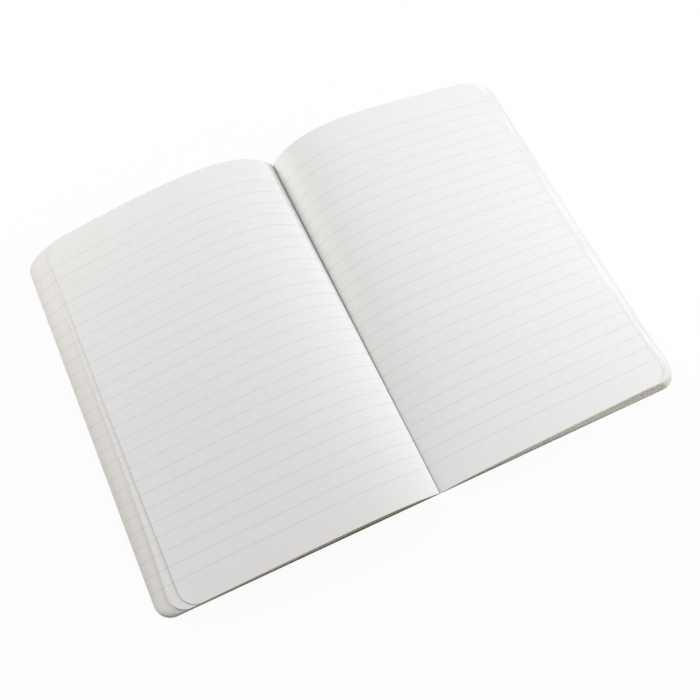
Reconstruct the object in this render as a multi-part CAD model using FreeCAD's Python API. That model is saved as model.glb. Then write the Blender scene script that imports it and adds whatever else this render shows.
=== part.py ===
import FreeCAD, Part
import math
import os

os.makedirs("parts", exist_ok=True)

# An open notebook lying on its covers. +X runs from the left page to the right page, +Y runs up the
# pages, and +Z is up. The origin is under the middle of the spine, at table level.

# Driving dimensions in millimetres
leaf_width = 140.0
leaf_height = 215.9
corner_radius = 9.0
card_thickness = 0.4
spine_width = 12.0
hinge_gap = 0.3

# The gutter is the valley where the two open pages meet. The leaves lean to the right over the spine.
gutter_x = 4.75
neck_height = 1.6

# How far the lowest leaf reaches out past the top leaf, and the number of steps in that fanned edge
left_fan = 13.6
right_fan = 8.0
fan_steps = 8

# The right-hand leaves have slid a little up the page. The top leaf's lower edge runs in by this much
# at the fore edge, and the lowest leaf's not at all.
right_skew = 2.3

# Each open page is an arch. At a distance d from the gutter it stands
# rise * (1 - exp(-bend_rate * t)) + slope * t + sag * t * t above the neck, with t = d / leaf_width.
# The three values are at the page's bottom end, its middle and its top end.
bend_rate = 7.9
left_arch = {"rise": (11.8, 24.0, 28.8), "slope": (-6.3, -6.5, -7.1), "sag": (-2.5, -10.7, -14.5)}
right_arch = {"rise": (4.6, 15.7, 28.2), "slope": (5.0, 0.9, -17.9), "sag": (-0.7, -13.9, -7.6)}

# The arch is worked out on a grid that runs a little past the leaves on every side, with its columns
# closer together by the gutter, where it bends most.
arch_columns = 14
arch_rows = 5
margin = 4.0

half_height = leaf_height / 2
half_spread = spine_width / 2 + leaf_width
arch_reach = half_spread + abs(gutter_x) + margin
clear_height = 2 * max(left_arch["rise"] + right_arch["rise"])


def along(values, y):
    """The value at y of a curve through the three values at the bottom end, the middle and the top end."""
    bottom, middle, top = values
    v = y / half_height
    return middle + (top - bottom) / 2 * v + ((top + bottom) / 2 - middle) * v * v


def page_height(arch, distance, y):
    """Height over the table of the top page's surface, at a distance from the gutter."""
    rise, slope, sag = (along(arch[name], y) for name in ("rise", "slope", "sag"))
    t = distance / leaf_width
    return neck_height + rise * (1 - math.exp(-bend_rate * t)) + slope * t + sag * t * t


def arch_under(arch, side, share):
    """Everything under the page's surface, with its height over the covers cut down to a share."""
    distances = [arch_reach * (column / arch_columns) ** 2 for column in range(arch_columns + 1)]
    row_step = (leaf_height + 2 * margin) / (arch_rows - 1)
    grid = []
    for distance in [-margin / 2] + distances:
        line = []
        for row in range(arch_rows):
            y = -half_height - margin + row * row_step
            z = card_thickness + share * (page_height(arch, distance, y) - card_thickness)
            line.append(FreeCAD.Vector(gutter_x + side * distance, y, z))
        grid.append(line)
    surface = Part.BSplineSurface()
    surface.interpolate(grid)
    return surface.toShape().extrude(FreeCAD.Vector(0, 0, -clear_height))


def sheet(inner_x, outer_x, bottom_z, thickness, skew=0.0):
    """A flat sheet that runs out from the spine, with its two outer corners rounded. Skew lifts the outer
    end of its lower edge."""
    corners = [
        (inner_x, -half_height),
        (outer_x, -half_height + skew),
        (outer_x, half_height),
        (inner_x, half_height),
    ]
    points = [FreeCAD.Vector(x, y, bottom_z) for x, y in corners]
    slab = Part.Face(Part.makePolygon(points + points[:1])).extrude(FreeCAD.Vector(0, 0, thickness))
    outer_uprights = [
        edge
        for edge in slab.Edges
        if abs(edge.CenterOfMass.x - outer_x) < 0.01 and edge.BoundBox.ZLength > thickness / 2
    ]
    return slab.makeFillet(corner_radius, outer_uprights)


def half_block(arch, side, fan, skew):
    """One side's leaves. Each step down the fanned edge reaches further out and lies lower, and the
    edge is rounded: it is nearly level by the top leaf and steep by the cover."""
    slabs = []
    for step in range(fan_steps):
        turn = math.pi / 2 * step / (fan_steps - 1)
        outer_x = side * (half_spread - fan * (1 - math.sin(turn)))
        share = 1 - step / fan_steps
        column = sheet(gutter_x, outer_x, card_thickness, clear_height, skew * share)
        slabs.append(column.common(arch_under(arch, side, share)))
    return slabs[0].multiFuse(slabs[1:])


def pages():
    """All the leaves, left and right, as one block that is joined by a thin neck at the gutter."""
    left = half_block(left_arch, -1, left_fan, 0)
    right = half_block(right_arch, 1, right_fan, right_skew)
    return left.fuse(right).removeSplitter()


def spine():
    """The strip of card that the leaves are glued to."""
    corner = FreeCAD.Vector(-spine_width / 2, -half_height, 0)
    return Part.makeBox(spine_width, leaf_height, card_thickness, corner)


def cover(side):
    """One cover, lying flat, cut flush with the lowest leaf."""
    return sheet(side * (spine_width / 2 + hinge_gap), side * half_spread, 0, card_thickness)


nodes = {"pages": pages(), "spine": spine(), "front_cover": cover(-1), "back_cover": cover(1)}

for name, shape in nodes.items():
    shape.exportStep(f"parts/{name}.step")
    print(name, len(shape.Solids), "solid,", round(shape.Volume / 1000, 1), "cm3, valid", shape.isValid())
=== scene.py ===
# %% [markdown]
# # An open ruled notebook
# The notebook lies open on its two soft covers. The page block, the spine and the covers come from the
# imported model, which is loaded first and never moved. What is added here are the leaves themselves,
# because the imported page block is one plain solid, and paper is known by its thin edges.

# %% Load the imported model
import math

import bmesh
import bpy
import numpy as np
from mathutils import Matrix, Vector


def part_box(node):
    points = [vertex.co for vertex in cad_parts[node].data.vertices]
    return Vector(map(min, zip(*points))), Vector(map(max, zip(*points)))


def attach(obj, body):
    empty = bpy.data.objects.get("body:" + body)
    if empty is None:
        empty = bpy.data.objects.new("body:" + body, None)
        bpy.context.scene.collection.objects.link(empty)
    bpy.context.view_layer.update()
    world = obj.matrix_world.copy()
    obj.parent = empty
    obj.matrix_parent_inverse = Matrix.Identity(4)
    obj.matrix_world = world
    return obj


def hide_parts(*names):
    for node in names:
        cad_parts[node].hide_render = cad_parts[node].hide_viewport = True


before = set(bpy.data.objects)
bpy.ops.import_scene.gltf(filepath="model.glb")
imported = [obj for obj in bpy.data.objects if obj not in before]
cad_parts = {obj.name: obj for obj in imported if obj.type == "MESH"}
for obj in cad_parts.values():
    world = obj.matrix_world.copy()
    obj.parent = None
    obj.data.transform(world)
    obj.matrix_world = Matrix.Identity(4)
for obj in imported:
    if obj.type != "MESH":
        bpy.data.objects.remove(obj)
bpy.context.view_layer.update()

# %% [markdown]
# ## Sizes
# A leaf is 140 mm wide and 215.9 mm high. Every size could be typed in again, but most are read from the
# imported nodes, so that the leaves can't drift away from the model: the back cover's outer edge is the
# lowest leaf's edge, and the top of the card is where the paper starts. Only what no node shows is
# repeated. The arch of a page is three numbers, in millimetres, at its bottom end, its middle and its
# top end, as they were measured from the photograph.

# %% Sizes in metres
MM = 0.001
spine_low, spine_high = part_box("spine")
LEAF_HEIGHT = spine_high[1] - spine_low[1]
HALF_HEIGHT = LEAF_HEIGHT / 2
HALF_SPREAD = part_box("back_cover")[1][0]
LEAF_WIDTH = HALF_SPREAD - spine_high[0]
CARD_TOP = spine_high[2]
GUTTER_X = 4.75 * MM
NECK_HEIGHT = 1.6 * MM
CORNER_RADIUS = 9 * MM
BEND_RATE = 7.9
LEFT, RIGHT = -1, 1
SIDES = {LEFT: "left", RIGHT: "right"}
ARCH = {
    LEFT: {"rise": (11.8, 24.0, 28.8), "slope": (-6.3, -6.5, -7.1), "sag": (-2.5, -10.7, -14.5)},
    RIGHT: {"rise": (4.6, 15.7, 28.2), "slope": (5.0, 0.9, -17.9), "sag": (-0.7, -13.9, -7.6)},
}
FAN = {LEFT: 13.6 * MM, RIGHT: 8.0 * MM}
SKEW = {LEFT: 0.0, RIGHT: 2.3 * MM}
REACH = {side: HALF_SPREAD - side * GUTTER_X for side in SIDES}
TOP_REACH = {side: REACH[side] - FAN[side] for side in SIDES}
print("leaf", round(LEAF_WIDTH, 4), "x", round(LEAF_HEIGHT, 4), "m, top leaves reach", TOP_REACH)

# %% [markdown]
# ## The arch of a page
# Paper that is glued at one edge climbs steeply out of the gutter, bends over and runs down to the
# fore edge. The arch could be sculpted by hand, but a formula lets every leaf of the stack follow it:
# an exponential gives the climb, and a straight and a square term the long way down. A thin crease is
# taken off right at the gutter, where the two pages meet in a dark line.

# %% Page surface
CREASE_DEPTH = 1.0 * MM
CREASE_WIDTH = {LEFT: 0.15 * MM, RIGHT: 2.0 * MM}


def along(values, y):
    """Middle + half the difference of the ends * v + (mean of the ends - middle) * v squared, where v is
    y / half height."""
    bottom, middle, top = values
    v = y / HALF_HEIGHT
    return middle + (top - bottom) / 2 * v + ((top + bottom) / 2 - middle) * v * v


def page_height(side, distance, y):
    """Neck + rise * (1 - exp(-rate * t)) + slope * t + sag * t squared, less the crease, where t is
    distance / leaf width."""
    rise, slope, sag = (along(ARCH[side][name], y) * MM for name in ("rise", "slope", "sag"))
    t = distance / LEAF_WIDTH
    arch = rise * (1 - np.exp(-BEND_RATE * t)) + slope * t + sag * t * t
    return NECK_HEIGHT + arch - CREASE_DEPTH * np.exp(-distance / CREASE_WIDTH[side])


for side, name in SIDES.items():
    middle_height = float(page_height(side, LEAF_WIDTH / 2, 0))
    print(name, "page is", round(middle_height / MM, 1), "mm high in its middle")

# %% [markdown]
# ## A leaf's outline on a grid
# A leaf is a rectangle with its two outer corners rounded. It could be cut out of a larger sheet, but
# that leaves ragged faces round the corners. Here each column of the grid, at its distance from the
# gutter, is as tall as the leaf is there, so the columns get shorter inside the corner's arc and the
# grid stays clean. Columns are close together by the gutter and in the corners, where the shape turns.

# %% Leaf grid
COLUMNS = 56
CORNER_COLUMNS = 12
CROWDING = 1.7
ROWS = 49
FLARE_POWER = 3


def leaf_columns(reach):
    """Distances from the gutter: share to the power CROWDING as far as the corner, then radius * sine."""
    straight = reach - CORNER_RADIUS
    inner = np.linspace(0, 1, COLUMNS - CORNER_COLUMNS) ** CROWDING * straight
    arc = np.linspace(0, np.pi / 2, CORNER_COLUMNS + 1)[1:]
    return np.concatenate([inner, straight + CORNER_RADIUS * np.sin(arc)])


def leaf_grid(reach, inset=0.0, skew=0.0, turn=0.0, flare=0.0):
    """A column's upper end is half the leaf's height, less what the corner's arc takes. Its lower end is
    the mirror of that. Towards the fore edge, inset shortens both ends and skew lifts the lower one. Turn
    brings the fore edge out at the lower end and in at the upper, and flare brings the lower half out."""
    distance = leaf_columns(reach)
    into_corner = np.clip(distance - (reach - CORNER_RADIUS), 0, None)
    taken = CORNER_RADIUS - np.sqrt(np.clip(CORNER_RADIUS**2 - into_corner**2, 0, None))
    upper = HALF_HEIGHT - inset * distance / reach - taken
    lower = skew * distance / reach - upper
    share = np.linspace(0, 1, ROWS)
    y = lower[:, None] + (upper - lower)[:, None] * share
    further = turn * (0.5 - share) + flare * np.clip(1 - 2 * share, 0, None) ** FLARE_POWER
    return distance[:, None] * (1 + further / reach), y


def ring(grid):
    """The grid's border, once round: bottom end outwards, fore edge, top end inwards, gutter side."""
    return np.concatenate([grid[:, 0], grid[-1, 1:], grid[-2::-1, -1], grid[0, -2:0:-1]])


def grid_faces(first=0):
    """Quads between neighbours on a leaf's grid, whose points are numbered column by column from first."""
    index = first + np.arange(COLUMNS * ROWS).reshape(COLUMNS, ROWS)
    return np.stack([index[:-1, :-1], index[1:, :-1], index[1:, 1:], index[:-1, 1:]], -1).reshape(-1, 4)


def band_faces(upper, lower):
    """Quads between two closed rings of the same length, given as rows of point numbers."""
    return np.stack([upper, lower, np.roll(lower, -1), np.roll(upper, -1)], -1)


BORDER = ring(np.arange(COLUMNS * ROWS).reshape(COLUMNS, ROWS))
print("a leaf has", COLUMNS, "columns of", ROWS, "points, and", len(BORDER), "of them on its border")

# %% [markdown]
# ## Shader maths
# A pattern on paper is a sum of simple masks. They could be wired up node by node, but an expression is
# easier to read. One small class wraps a socket, so that a plus b adds the node that does it, and the
# method `node` makes every other kind of node from its type, settings and inputs.

# %% Shader expressions
# A Mix node has its A, B and Result once for each kind of data, so the colour ones go by number.
MIX_A, MIX_B, MIX_RESULT = 6, 7, 2


class Value:
    """A node's output. The operators and `math` add Math nodes to the tree that it belongs to."""

    def __init__(self, tree, socket):
        self.tree, self.socket = tree, socket

    def math(self, operation, *others):
        return self.tree.math(operation, self, *others)

    def __add__(self, other):
        return self.math("ADD", other)

    def __sub__(self, other):
        return self.math("SUBTRACT", other)

    def __rsub__(self, other):
        return self.tree.math("SUBTRACT", other, self)

    def __mul__(self, other):
        return self.math("MULTIPLY", other)

    def __truediv__(self, other):
        return self.math("DIVIDE", other)

    def __rtruediv__(self, other):
        return self.tree.math("DIVIDE", other, self)

    __radd__ = __add__
    __rmul__ = __mul__

    def between(self, low, high):
        """0 at low and below, 1 at high and above, smooth in between."""
        limits = {"Value": self, "From Min": low, "From Max": high}
        return self.tree.node("ShaderNodeMapRange", {"interpolation_type": "SMOOTHSTEP"}, limits)

    def sibling(self, name):
        """Another output of the same node."""
        return Value(self.tree, self.socket.node.outputs[name])


class Tree:
    """The node tree of a material or of the world."""

    def __init__(self, owner):
        owner.use_nodes = True
        self.owner = owner
        self.nodes, self.links = owner.node_tree.nodes, owner.node_tree.links
        self.axes = None

    def node(self, kind, settings=None, inputs=None, output=0):
        made = self.nodes.new(kind)
        for name, value in (settings or {}).items():
            setattr(made, name, value)
        for name, value in (inputs or {}).items():
            self.feed(made.inputs[name], value)
        return Value(self, made.outputs[output])

    def feed(self, socket, value):
        if isinstance(value, Value):
            self.links.new(value.socket, socket)
        else:
            socket.default_value = value

    def math(self, operation, *values):
        return self.node("ShaderNodeMath", {"operation": operation}, dict(enumerate(values)))

    def place(self, axis):
        """One of the object's own coordinates, in metres."""
        if self.axes is None:
            coordinates = self.node("ShaderNodeTexCoord", output="Object")
            self.axes = self.node("ShaderNodeSeparateXYZ", None, {0: coordinates})
        return self.axes.sibling(axis)

    def noise(self, size, detail):
        """Grain of about the given size in metres, as a value around 0.5."""
        coordinates = self.node("ShaderNodeTexCoord", output="Object")
        inputs = {"Vector": coordinates, "Scale": 1 / size, "Detail": detail}
        return self.node("ShaderNodeTexNoise", None, inputs)

    def mix(self, share, first, second):
        """The first colour where share is 0, the second where it is 1."""
        inputs = {"Factor": share, MIX_A: first, MIX_B: second}
        return self.node("ShaderNodeMix", {"data_type": "RGBA", "clamp_factor": True}, inputs, MIX_RESULT)

    def bump(self, height, distance, strength):
        inputs = {"Height": height, "Distance": distance, "Strength": strength}
        return self.node("ShaderNodeBump", None, inputs)

    def finish(self, color, normal=None, **constants):
        shader = self.nodes["Principled BSDF"]
        self.feed(shader.inputs["Base Color"], color)
        if normal:
            self.feed(shader.inputs["Normal"], normal)
        for name, value in constants.items():
            shader.inputs[name.replace("_", " ")].default_value = value
        return self.owner


# %% [markdown]
# ## Streaks along the leaves
# Whatever is seen on the edge of a stack runs along its leaves, round the arch. A texture could be
# unwrapped along the edge. It is simpler to let every point of a stack carry its depth, 0 at the top
# leaf and 1 at the cover: a noise that is long in X and Y and short in depth then follows the leaves by
# itself. The single leaves carry no depth, which reads as 0.

# %% Depth and streaks
STACK_LEAVES = 44


def leaf_depth(tree):
    return tree.node("ShaderNodeAttribute", {"attribute_name": "depth"}, output="Fac")


def streaks(tree, length, layers, detail):
    """Noise of (X / length, Y / length, depth * layers)."""
    depth = leaf_depth(tree)
    flow = {"X": tree.place("X") / length, "Y": tree.place("Y") / length, "Z": depth * layers}
    inputs = {"Vector": tree.node("ShaderNodeCombineXYZ", None, flow), "Scale": 1.0, "Detail": detail}
    return tree.node("ShaderNodeTexNoise", None, inputs)


print("a stack has", STACK_LEAVES, "leaves, each", round(1 / STACK_LEAVES, 3), "of its depth")

# %% [markdown]
# ## The ruling
# The lines are printed right across the page, 25 thin grey ones, 7.74 mm apart. They could be strips of
# mesh or a picture, but as maths they stay sharp at any distance. They are worked out from the page's
# own Y, so every leaf in the fanned edge carries on the lines of the leaf above it, as in a real block
# that was ruled before it was cut. Each leaf is off by a little, and every line wanders slightly.

# %% Ruling
LINE_COUNT = 25
PITCHES_IN_A_LEAF = 27.91
LINE_PITCH = LEAF_HEIGHT / PITCHES_IN_A_LEAF
LOWEST_LINE = -93.4 * MM
LINE_WIDTH = 0.36 * MM
LINE_CORE = LINE_WIDTH * 0.35
LINE_FADE = LINE_WIDTH * 0.65
LINE_WANDER = 0.3 * MM
WANDER_LENGTH = 60 * MM
LEAF_OFFSET = 0.45 * MM


def ruling(tree, is_fan):
    """1 where Y is within half a line's width of LOWEST_LINE + n * LINE_PITCH, n from 0 to 24, else 0."""
    leaf = (leaf_depth(tree) * STACK_LEAVES).math("FLOOR")
    leaf_play = tree.node("ShaderNodeTexWhiteNoise", {"noise_dimensions": "1D"}, {"W": leaf}) - 0.5
    wander = (tree.noise(WANDER_LENGTH, detail=1) - 0.5) * LINE_WANDER + leaf_play * LEAF_OFFSET * is_fan
    steps = (tree.place("Y") + wander - LOWEST_LINE) / LINE_PITCH
    nearest = steps.math("ROUND")
    off_line = (steps - nearest).math("ABSOLUTE") * LINE_PITCH
    line = 1 - off_line.between(LINE_CORE, LINE_FADE)
    from_middle_line = (nearest - (LINE_COUNT - 1) / 2).math("ABSOLUTE")
    return line * from_middle_line.math("LESS_THAN", LINE_COUNT / 2)


print("lines", LINE_COUNT, "pitch", round(LINE_PITCH / MM, 2), "mm")

# %% [markdown]
# ## Ruled paper
# The page is uncoated writing paper: a matt near-white with the faint clouding of its pulp and a grain
# far too fine to see except as softness. A flat white would look like plastic, so two noises cloud and
# roughen it. The fanned edges carry painted light and shade: the left fan is painted lighter than the
# page by its top leaves and darker downwards, and the right one has a painted highlight in bright strands
# along its leaves, where the lines nearly fade. Down in the gutter a thin line is painted dark, partly
# glue and partly painted shade of the crease.

# %% Ruled paper
PAPER = (0.838, 0.828, 0.818, 1)
PAPER_CLOUD = (0.824, 0.815, 0.805, 1)
CLOUD_SIZE = 2.5 * MM
CLOUD_CONTRAST = (0.35, 0.65)
# Painted light and shade of the left fan: lighter than the page by its top leaves, darker downwards by
# depth.
FAN_PAINTED_LIGHT = (0.89, 0.871, 0.85, 1)
FAN_PAINTED_SHADE = (0.79, 0.765, 0.735, 1)
FAN_TOP_DEPTH = 0.01
FAN_SHADING = (0.05, 0.9)
# Painted highlight of the right fan: bright strands along its leaves, with shade between them.
STRAND_SHADE = (0.835, 0.838, 0.81, 1)
STRAND_HIGHLIGHT = (0.89, 0.89, 0.87, 1)
STRAND_LENGTH = 30 * MM
STRAND_LAYERS = 9
STRAND_CONTRAST = (0.44, 0.56)
RULING = (0.47, 0.465, 0.465, 1)
INK_SPECKLE = 1.2 * MM
INK_CONTRAST = (0.1, 0.6)
INK_LEAST = 0.195
INK_PLAY = 0.17
INK_LOST_ON_STRANDS = 0.7
# The gutter line's colour: glue, and painted shade of the crease.
GUTTER_SHADE = (0.20, 0.19, 0.16, 1)
GUTTER_LINE = 0.34 * MM
GUTTER_CORE = GUTTER_LINE * 0.4
GUTTER_DARKNESS = 0.45
FINE_GRAIN = 0.35 * MM
COARSE_GRAIN = 5 * MM
FINE_SHARE = 0.4
PAPER_RELIEF = 0.05 * MM
PAPER_RELIEF_SHARE = 0.4


def fan_painted_light_and_shade(tree, is_right_fan):
    """Painted light and shade. Left: two colours mixed by the depth. Right: shade and highlight mixed by
    the streaks.
    """
    strands = streaks(tree, STRAND_LENGTH, STRAND_LAYERS, detail=1.5).between(*STRAND_CONTRAST)
    left = tree.mix(leaf_depth(tree).between(*FAN_SHADING), FAN_PAINTED_LIGHT, FAN_PAINTED_SHADE)
    return tree.mix(is_right_fan, left, tree.mix(strands, STRAND_SHADE, STRAND_HIGHLIGHT))


def ruled_paper():
    """Paper or fan, then the ruling * ink over it, then glue and painted crease shade where |X - gutter|
    is small.
    """
    tree = Tree(bpy.data.materials.new("ruled_paper"))
    is_fan = leaf_depth(tree).math("GREATER_THAN", FAN_TOP_DEPTH)
    is_right_fan = is_fan * tree.place("X").math("GREATER_THAN", 0.0)
    clouding = tree.noise(CLOUD_SIZE, detail=4).between(*CLOUD_CONTRAST)
    clouded = tree.mix(clouding, PAPER, PAPER_CLOUD)
    paper = tree.mix(is_fan, clouded, fan_painted_light_and_shade(tree, is_right_fan))
    ink = tree.noise(INK_SPECKLE, detail=2).between(*INK_CONTRAST) * INK_PLAY + INK_LEAST
    # The lines are printed fainter all over the right fan, under its painted highlight.
    inked = ruling(tree, is_fan) * ink * (1 - is_right_fan * INK_LOST_ON_STRANDS)
    printed = tree.mix(inked, paper, RULING)
    # A thin dark line along the gutter, partly glue and partly painted shade of the crease.
    from_gutter = (tree.place("X") - GUTTER_X).math("ABSOLUTE")
    glue_and_crease_shade = (1 - from_gutter.between(GUTTER_CORE, GUTTER_LINE)) * GUTTER_DARKNESS
    fine, coarse = tree.noise(FINE_GRAIN, detail=3), tree.noise(COARSE_GRAIN, detail=2)
    grain = fine * FINE_SHARE + coarse * (1 - FINE_SHARE)
    relief = tree.bump(grain, PAPER_RELIEF, PAPER_RELIEF_SHARE)
    color = tree.mix(glue_and_crease_shade, printed, GUTTER_SHADE)
    return tree.finish(color, relief, Roughness=0.9, Specular_IOR_Level=0.2)


page_paper = ruled_paper()
print(page_paper.name, "has", len(page_paper.node_tree.nodes), "nodes")

# %% [markdown]
# ## Cut edges of the paper
# Where a stack of leaves is cut, its edge is warmer and darker than the page, partly by painted shade,
# with fine lines along the leaves. Modelling every gap would take a mesh many times as fine, so streaks
# at two scales draw them: long gaps between bunches of leaves, painted dark as shade, and the leaves
# themselves. The colour goes from a painted cream highlight by the top leaf to olive by the cover, and
# the two ends are darker than the fore edges, partly their own colour and partly painted shade, most of
# all the lower end. The lowest leaves of an end are painted darkest, as the shadow under the stack,
# except far to the right, where the light of the window reaches them.

# %% Cut paper
# Cream of the rims; over the stack's top leaves it is a painted highlight.
RIM_CREAM = (0.86, 0.84, 0.76, 1)
EDGE_LIGHT = (0.89, 0.875, 0.83, 1)
EDGE_DARK = (0.72, 0.70, 0.63, 1)
# Colours of the ends: partly the paper's own, partly painted shade; the lower end's pair is darker and
# more olive.
END_LIGHT = (0.60, 0.56, 0.43, 1)
END_DARK = (0.175, 0.155, 0.085, 1)
LOWER_END_LIGHT = (0.605, 0.55, 0.375, 1)
LOWER_END_DARK = (0.17, 0.148, 0.065, 1)
# A painted shadow on the lowest leaves of the ends, weaker towards the lit right.
EDGE_LOWEST = (0.06, 0.05, 0.03, 1)
# Dark gaps between bunches of leaves: painted shade in them.
GAP_LENGTH = 110 * MM
GAP_LAYERS = 5
GAP_CONTRAST = (0.42, 0.58)
GAP_SHARE = 0.65
LEAF_STREAK = 30 * MM
FIBRE_CONTRAST = (0.3, 0.7)
END_ZONE = (HALF_HEIGHT - 5 * MM, HALF_HEIGHT - 2.6 * MM)
# The depths that get the painted cream highlight.
TOP_RIM = (0.02, 0.12)
LOWEST_LEAVES = (0.45, 0.9)
LIT_PART = (40 * MM, 130 * MM)
LIT_SHARE = 0.85
EDGE_RELIEF = 0.1 * MM
EDGE_RELIEF_SHARE = 0.5
RIM_FIBRE = 0.4 * MM


def end_with_painted_shade(tree, light):
    """Two colours mixed by light: one pair for the upper ends, and for the lower ends, where Y < 0, a
    darker pair of painted shade.
    """
    upper_end = tree.mix(light, END_DARK, END_LIGHT)
    lower_end = tree.mix(light, LOWER_END_DARK, LOWER_END_LIGHT)
    return tree.mix(tree.place("Y").math("LESS_THAN", 0.0), upper_end, lower_end)


def cut_paper():
    """Light = gaps * GAP_SHARE + leaves * the rest, where the gaps are painted shade. It mixes the fore
    edge's two colours and the end's two. Cream goes over the top rim as a painted highlight, and the
    darkest colour over the ends' lowest leaves as a painted shadow."""
    tree = Tree(bpy.data.materials.new("cut_paper"))
    depth = leaf_depth(tree)
    # The gap streaks are painted shade between bunches of leaves; the leaf streaks are the leaves' own
    # tone.
    gaps = streaks(tree, GAP_LENGTH, GAP_LAYERS, detail=1.0).between(*GAP_CONTRAST)
    leaves = streaks(tree, LEAF_STREAK, STACK_LEAVES, detail=1.0).between(*FIBRE_CONTRAST)
    light = gaps * GAP_SHARE + leaves * (1 - GAP_SHARE)
    is_end = tree.place("Y").math("ABSOLUTE").between(*END_ZONE)
    edge = tree.mix(is_end, tree.mix(light, EDGE_DARK, EDGE_LIGHT), end_with_painted_shade(tree, light))
    # Cream over the top rim of the stack: a painted highlight.
    topped = tree.mix(depth.between(*TOP_RIM), RIM_CREAM, edge)
    # The ends' lowest leaves get a painted shadow, weaker far to the right where the window's light
    # reaches.
    unlit = 1 - tree.place("X").between(*LIT_PART) * LIT_SHARE
    shaded = tree.mix(depth.between(*LOWEST_LEAVES) * unlit * is_end, topped, EDGE_LOWEST)
    relief = tree.bump(leaves, EDGE_RELIEF, EDGE_RELIEF_SHARE)
    return tree.finish(shaded, relief, Roughness=0.95, Specular_IOR_Level=0.0)


def leaf_rim():
    tree = Tree(bpy.data.materials.new("leaf_rim"))
    fibres = tree.noise(RIM_FIBRE, detail=3).between(*FIBRE_CONTRAST)
    color = tree.mix(fibres, EDGE_LIGHT, RIM_CREAM)
    return tree.finish(color, Roughness=0.95, Specular_IOR_Level=0.0)


stack_edge = cut_paper()
single_edge = leaf_rim()
print(stack_edge.name, "has", len(stack_edge.node_tree.nodes), "nodes")

# %% [markdown]
# ## From points to a piece
# Each piece is worked out as whole arrays of points and faces, which then go into a mesh in one step.
# The left side is the mirror of the right. A negative scale would do that too, but it turns a shape
# inside out, so the faces are turned round instead.

# %% Making a piece
SAME_POINT = 0.0002 * MM
CREASE_ANGLE = math.radians(35)


def placed(side, distance, y, z):
    """Points (gutter + side * distance, y, z), one row each."""
    return np.stack([GUTTER_X + side * distance, y, z], -1).reshape(-1, 3)


def outward(side, faces):
    """The left side's faces the other way round, so that they point outwards too."""
    return faces if side == RIGHT else faces[:, ::-1]


def join_points(mesh):
    """Points that lie on each other become one, and faces of no width go."""
    joined = bmesh.new()
    joined.from_mesh(mesh)
    bmesh.ops.remove_doubles(joined, verts=joined.verts, dist=SAME_POINT)
    joined.to_mesh(mesh)
    joined.free()


def add_piece(name, points, faces, kinds, materials, depth=None):
    """A face's kind is the number of its material."""
    mesh = bpy.data.meshes.new(name)
    mesh.from_pydata(points.tolist(), [], faces.tolist())
    for material in materials:
        mesh.materials.append(material)
    mesh.polygons.foreach_set("material_index", kinds)
    mesh.polygons.foreach_set("use_smooth", np.ones(len(faces), bool))
    if depth is not None:
        mesh.attributes.new("depth", "FLOAT", "POINT").data.foreach_set("value", depth)
    join_points(mesh)
    mesh.set_sharp_from_angle(angle=CREASE_ANGLE)
    mesh.update()
    piece = bpy.data.objects.new(name, mesh)
    bpy.context.scene.collection.objects.link(piece)
    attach(piece, "page_block")
    print(name, len(mesh.vertices), "points,", len(mesh.polygons) * 2, "triangles")
    return piece


# %% [markdown]
# ## The stack of leaves
# Under the top leaf lies a stack whose fore edge is fanned out. A lower leaf goes a shorter way round
# the arch, so it reaches further, and leaves of equal thickness end on a quarter of an ellipse. The
# leaves could be separate sheets, but only their edges are ever seen, so the stack is one closed
# surface. Its border is a ring of points, and a flight of fine steps leads it down from the top leaf to
# the cover: a riser for a leaf's cut edge, then a tread for the strip that the leaf above leaves bare.

# %% Stack
STACK_DROP = 0.5 * MM
EDGE_PLAY = 0.25 * MM
END_PLAY = 0.05 * MM
LEAST_STEP = 0.002 * MM
SEED = 4


def leaf_edges(side, share):
    """Reach = top reach + fan * sqrt(1 - share squared) + a random play that fades out downwards, and
    always more than the leaf above. The insets at the ends are random."""
    rng = np.random.default_rng(SEED + side)
    uneven = rng.uniform(-EDGE_PLAY, EDGE_PLAY, STACK_LEAVES) * share
    reach = np.maximum.accumulate(TOP_REACH[side] + FAN[side] * np.sqrt(1 - share**2) + uneven)
    reach = np.minimum(reach, REACH[side]) - LEAST_STEP * np.arange(STACK_LEAVES)[::-1]
    return reach, rng.uniform(0, END_PLAY, STACK_LEAVES)


def stack_faces(firsts):
    """Bands between neighbouring rings, a riser and a tread in turn, and then the top and bottom grids.
    Risers are kind 1, cut paper, and the rest is kind 0, page."""
    rings = [first + np.arange(len(BORDER)) for first in firsts]
    rings[0], rings[-1] = BORDER, firsts[-1] + BORDER
    bands = [band_faces(upper, lower) for upper, lower in zip(rings, rings[1:])]
    caps = [grid_faces(), grid_faces(firsts[-1])[:, ::-1]]
    kinds = [np.full(len(band), 1 - step % 2) for step, band in enumerate(bands)]
    kinds += [np.zeros(len(cap), int) for cap in caps]
    return np.concatenate(bands + caps), np.concatenate(kinds)


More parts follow.
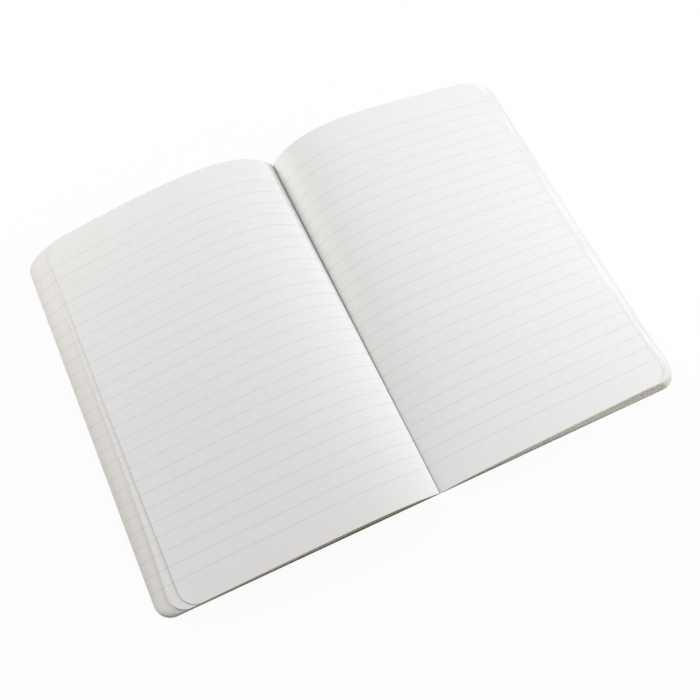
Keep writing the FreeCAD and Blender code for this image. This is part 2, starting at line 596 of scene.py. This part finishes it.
def leaf_stack(side):
    """Level i is at 1 - i / STACK_LEAVES of the page's height over the card. Leaf i has points at level
    i, its top, and at level i + 1, its underside: its border, or the whole grid at either end."""
    share = 1 - np.arange(STACK_LEAVES + 1) / STACK_LEAVES
    reach, inset = leaf_edges(side, share[:-1])
    levels, depths = [], []
    for leaf in range(STACK_LEAVES):
        distance, y = leaf_grid(reach[leaf], inset[leaf], SKEW[side] * share[leaf])
        height = page_height(side, distance, y) - CARD_TOP - STACK_DROP
        for level in (leaf, leaf + 1):
            grids = (distance, y, CARD_TOP + share[level] * height)
            if 0 < level < STACK_LEAVES:
                grids = (ring(grid) for grid in grids)
            levels.append(placed(side, *grids))
            depths.append(np.full(len(levels[-1]), 1 - share[level]))
    faces, kinds = stack_faces(np.cumsum([0] + [len(level) for level in levels[:-1]]))
    return add_piece(f"leaf_stack_{SIDES[side]}", np.concatenate(levels), outward(side, faces), kinds,
                     [page_paper, stack_edge], np.concatenate(depths))


stacks = [leaf_stack(side) for side in SIDES]
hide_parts("pages")

# %% [markdown]
# ## Single leaves on top
# The open pages and the leaf under the left one are thin sheets of their own. They could be the top of
# the stack, but then their edges would have no shadow under them. Each is a grid with a top and an
# underside 0.12 mm apart and a rim between them. Towards the fore edge a sheet lifts a little off the
# stack, most at its lower end, which gives its edge a soft line of shadow. The leaf under the left page
# has slid out, is turned a little and flares at its lower end, so a strip of it shows there.

# %% Single leaves
LEAF_THICKNESS = 0.12 * MM
LIFT_POWER = 8
LIFT_MIDDLE = 0.65
LIFT_TILT = 0.35
PAGE_LIFT = {LEFT: 0.3 * MM, RIGHT: 0.1 * MM}
SECOND_LEAF_OUT = 3.0 * MM
SECOND_LEAF = {"drop": 0.24 * MM, "lift": 0.1 * MM, "turn": 1.8 * MM, "flare": 1.7 * MM}


def single_leaf(name, side, reach, drop, lift, turn=0.0, flare=0.0):
    """z = page's surface - drop + lift * (distance / reach) to the power LIFT_POWER * (LIFT_MIDDLE -
    LIFT_TILT * y / half height)."""
    distance, y = leaf_grid(reach, 0.0, SKEW[side], turn, flare)
    curl = lift * (distance / reach) ** LIFT_POWER * (LIFT_MIDDLE - LIFT_TILT * y / HALF_HEIGHT)
    surface = page_height(side, distance, y) - drop + curl
    top = placed(side, distance, y, surface)
    under = placed(side, distance, y, surface - LEAF_THICKNESS)
    sheets = np.concatenate([grid_faces(), grid_faces(len(top))[:, ::-1]])
    rim = band_faces(BORDER, BORDER + len(top))
    kinds = np.concatenate([np.zeros(len(sheets), int), np.ones(len(rim), int)])
    points, faces = np.concatenate([top, under]), np.concatenate([sheets, rim])
    return add_piece(name, points, outward(side, faces), kinds, [page_paper, single_edge])


for side, name in SIDES.items():
    single_leaf(f"{name}_page", side, TOP_REACH[side], 0.0, PAGE_LIFT[side])
single_leaf("second_leaf", LEFT, TOP_REACH[LEFT] + SECOND_LEAF_OUT, **SECOND_LEAF)

# %% [markdown]
# ## Covers and spine
# The cover is one sheet of plain card, of which only the rim shows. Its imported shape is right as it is,
# so it only gets a finish. Card is darker and coarser than the paper, with short fibres in every
# direction, so its colour mixes two browns by a fine noise instead of being flat.

# %% Card
CARD_LIGHT = (0.36, 0.31, 0.22, 1)
CARD_DARK = (0.25, 0.21, 0.14, 1)
CARD_FIBRE = 0.8 * MM
CARD_RELIEF = 0.08 * MM
CARD_RELIEF_SHARE = 0.4


def plain_card():
    tree = Tree(bpy.data.materials.new("plain_card"))
    fibres = tree.noise(CARD_FIBRE, detail=6).between(*FIBRE_CONTRAST)
    relief = tree.bump(fibres, CARD_RELIEF, CARD_RELIEF_SHARE)
    color = tree.mix(fibres, CARD_DARK, CARD_LIGHT)
    return tree.finish(color, relief, Roughness=0.8, Specular_IOR_Level=0.3)


card = plain_card()
for node in ("spine", "front_cover", "back_cover"):
    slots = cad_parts[node].data.materials
    slots.clear()
    slots.append(card)
    print(node, "is finished as", card.name)

# %% [markdown]
# ## Floor and backdrop
# The photograph is cut out on pure white. Stronger lamps would give a white floor too, but they would
# bleach the pages. A light path tells a shader what kind of ray has met it: what the camera sees, or
# sees in gloss or through glass, can be white without one bit more light falling on the pages. The
# floor keeps a small share of its matt white, so that a soft trace of shadow stays.

# %% Floor and backdrop
WHITE = (1, 1, 1, 1)
FLOOR_MATT = (0.9, 0.9, 0.9, 1)
FLOOR_SIZE = 8
FLOOR_WHITE = 0.92
WORLD_LIGHT = 0.42
SEEN_RAYS = ("Is Camera Ray", "Is Glossy Ray", "Is Transmission Ray")


def seen_rays(tree):
    """1 for a ray of one of the SEEN_RAYS, 0 for any other: the greatest of the three."""
    rays = tree.node("ShaderNodeLightPath")
    camera, glossy, through = (rays.sibling(name) for name in SEEN_RAYS)
    return camera.math("MAXIMUM", glossy).math("MAXIMUM", through)


def white_floor():
    """Matt where the share of white is 0, a glow of strength 1 where it is 1."""
    tree = Tree(bpy.data.materials.new("white_floor"))
    tree.finish(FLOOR_MATT, Roughness=1.0, Specular_IOR_Level=0.0)
    matt = Value(tree, tree.nodes["Principled BSDF"].outputs[0])
    white = tree.node("ShaderNodeEmission", None, {"Color": WHITE, "Strength": 1.0})
    mixed = tree.node("ShaderNodeMixShader", None, {0: seen_rays(tree) * FLOOR_WHITE, 1: matt, 2: white})
    tree.feed(tree.nodes["Material Output"].inputs["Surface"], mixed)
    return tree.owner


def white_world():
    """Light of strength WORLD_LIGHT for the object, and white of strength 1 for what is seen."""
    tree = Tree(bpy.data.worlds.new("studio"))
    background = tree.nodes["Background"]
    background.inputs["Color"].default_value = WHITE
    background.inputs["Strength"].default_value = WORLD_LIGHT
    light = Value(tree, background.outputs[0])
    white = tree.node("ShaderNodeBackground", None, {"Color": WHITE, "Strength": 1.0})
    mixed = tree.node("ShaderNodeMixShader", None, {0: seen_rays(tree), 1: light, 2: white})
    tree.feed(tree.nodes["World Output"].inputs["Surface"], mixed)
    return tree.owner


bpy.ops.mesh.primitive_plane_add(size=FLOOR_SIZE, location=(0, 0, 0))
floor = bpy.context.object
floor.name = "floor"
floor.data.materials.append(white_floor())
bpy.context.scene.world = white_world()
print("floor", FLOOR_SIZE, "m across, light of the world", WORLD_LIGHT)

# %% [markdown]
# ## Lamps
# Two soft lamps stand low, as windows do. A lamp straight above would light every slope of the arch
# alike and flatten it. The one at the right lights the flank of the left page and the long slope of the
# right one, and the one behind leaves the near edge in shade.

# %% Lamps
LAMP_DISTANCE = 0.95
LAMP_SIZE = 0.4


def area_lamp(name, azimuth, elevation, power, color):
    """Place = distance * (cos az * cos el, sin az * cos el, sin el); it faces the notebook's middle."""
    turn, rise = math.radians(azimuth), math.radians(elevation)
    toward = Vector((math.cos(turn) * math.cos(rise), math.sin(turn) * math.cos(rise), math.sin(rise)))
    data = bpy.data.lights.new(name, "AREA")
    data.shape, data.size, data.energy, data.color = "DISK", LAMP_SIZE, power, color
    lamp = bpy.data.objects.new(name, data)
    lamp.location = toward * LAMP_DISTANCE
    lamp.rotation_euler = (-toward).to_track_quat("-Z", "Y").to_euler()
    bpy.context.scene.collection.objects.link(lamp)
    print(name, "at", azimuth, "degrees round and", elevation, "up,", power, "W")


area_lamp("right_window", -10, 30, 5.9, (0.968, 0.978, 1.0))
area_lamp("back_window", 120, 24, 5.6, (1.0, 0.988, 0.96))

# %% [markdown]
# ## Camera
# The camera stands where the photograph was taken from. Its place and angles could be set by eye, but
# they were found from the page corners and the ruled lines, so the render can be laid over the picture.

# %% Camera
FOCAL_PIXELS = 930
PICTURE_PIXELS = 700
SENSOR_WIDTH = 36
AZIMUTH, ELEVATION, ROLL = (math.radians(angle) for angle in (23.25, 67.56, -1.78))
CAMERA_PLACE = Vector((-78.8, -193.0, 463.4)) * MM


def add_camera():
    """It looks along (sin az * cos el, cos az * cos el, -sin el) and is then rolled about that line."""
    flat = math.cos(ELEVATION)
    forward = Vector((math.sin(AZIMUTH) * flat, math.cos(AZIMUTH) * flat, -math.sin(ELEVATION)))
    level = forward.cross(Vector((0, 0, 1))).normalized()
    above = level.cross(forward)
    right = math.cos(ROLL) * level + math.sin(ROLL) * above
    up = -math.sin(ROLL) * level + math.cos(ROLL) * above
    data = bpy.data.cameras.new("camera")
    data.sensor_width = SENSOR_WIDTH
    data.lens = SENSOR_WIDTH * FOCAL_PIXELS / PICTURE_PIXELS
    camera = bpy.data.objects.new("camera", data)
    turn = Matrix((right, up, -forward)).transposed().to_4x4()
    camera.matrix_world = Matrix.Translation(CAMERA_PLACE) @ turn
    bpy.context.scene.collection.objects.link(camera)
    bpy.context.scene.camera = camera
    print("camera lens", round(data.lens, 1), "mm")


add_camera()
bpy.context.scene.view_settings.view_transform = "Standard"
